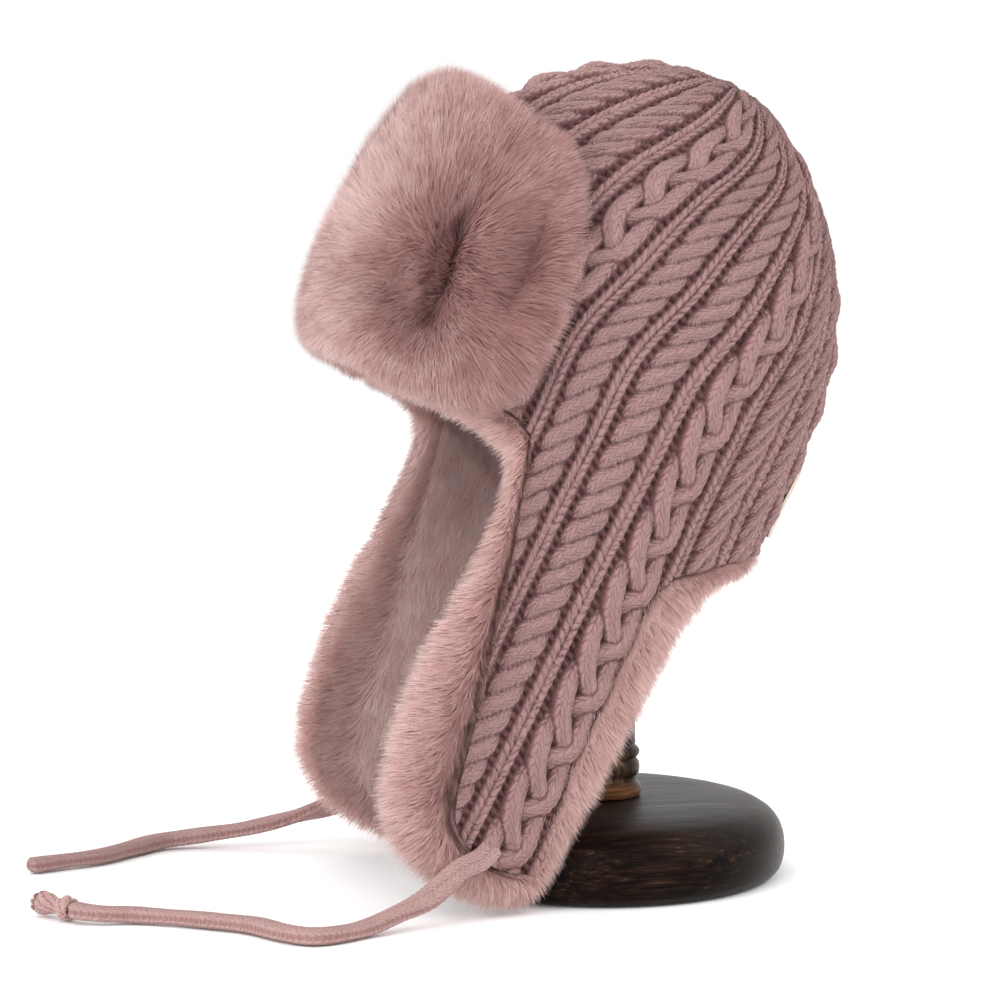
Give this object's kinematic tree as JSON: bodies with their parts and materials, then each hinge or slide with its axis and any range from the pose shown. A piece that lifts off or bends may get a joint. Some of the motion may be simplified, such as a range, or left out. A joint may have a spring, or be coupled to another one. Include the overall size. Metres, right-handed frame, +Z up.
{
  "type": "earflap hat on stand",
  "caption": "Cable-knit trapper hat with a turned-up fur brow flap, two long fur-lined ear flaps and flat ties, on a turned wooden stand.",
  "frame": {"origin": "centre of the stand's flat underside, on the surface that it stands on", "axes": "+Z up; the hat's brow faces -Y; +X is the wearer's left"},
  "size_m": [0.2399, 0.4131, 0.4059],
  "materials": {
    "knit": "bulky dusty-pink yarn in ribs and cables",
    "fur": "deep soft dusty-pink pile",
    "tag": "blank cream woven tape",
    "wood": "dark brown stain, worn satin"
  },
  "bodies": {
    "root": {"knit_shell": "knit", "fur_lining": "fur", "brow_flap": "fur", "nape_tag": "tag", "tie_left": "knit", "tie_right": "knit", "tie_knot_left": "knit", "stand_base": "wood", "stand_stem": "wood", "stand_dome": "wood"}
  },
  "joints": []
}
